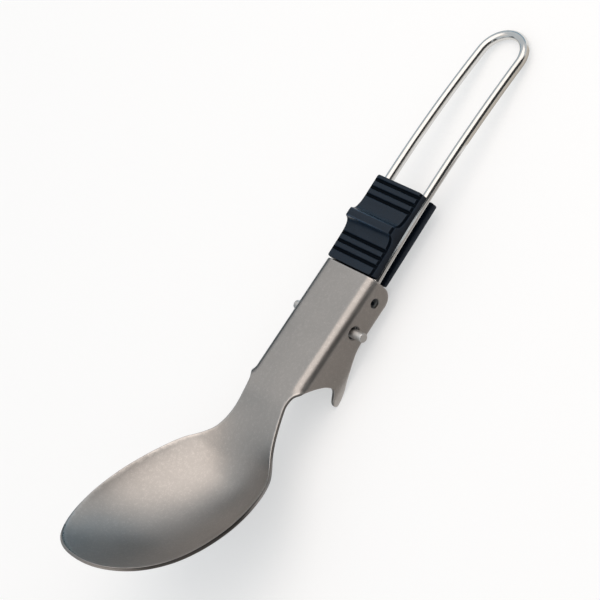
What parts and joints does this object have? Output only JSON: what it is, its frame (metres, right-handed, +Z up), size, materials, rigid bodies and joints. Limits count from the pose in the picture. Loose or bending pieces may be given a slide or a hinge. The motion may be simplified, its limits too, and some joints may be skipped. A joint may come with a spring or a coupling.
{
  "type": "folding spoon",
  "caption": "Folding camping spoon: a pressed titanium bowl and channel, a bent wire handle that folds under it, and a plastic lock slider that runs along the handle.",
  "frame": {"origin": "middle of the footprint on the table that the open spoon lies on, resting on its hooks and the handle's loop", "axes": "+X along the spoon towards the handle's loop, +Y to the left seen from above with the bowl at the back, +Z up"},
  "size_m": [0.1608, 0.0408, 0.0412],
  "materials": {
    "blasted_titanium": "bead-blasted titanium sheet, warm grey satin",
    "polished_steel": "polished round wire",
    "black_plastic": "black moulded plastic, satin"
  },
  "bodies": {
    "spoon": {"spoon_body": "blasted_titanium"},
    "handle": {"wire_handle": "polished_steel"},
    "slider": {"lock_slider": "black_plastic"}
  },
  "joints": [
    {"name": "handle_fold", "type": "hinge", "parent": "spoon", "child": "handle", "pos_m": [-0.00293, 0, 0.00752], "axis": [0, 1, 0], "range_deg": [0, 172]},
    {"name": "slider_travel", "type": "hinge", "parent": "handle", "child": "slider", "pos_m": [0.01232, 0, -0.33063], "axis": [0, 1, 0], "range_deg": [0, 6.2]}
  ]
}
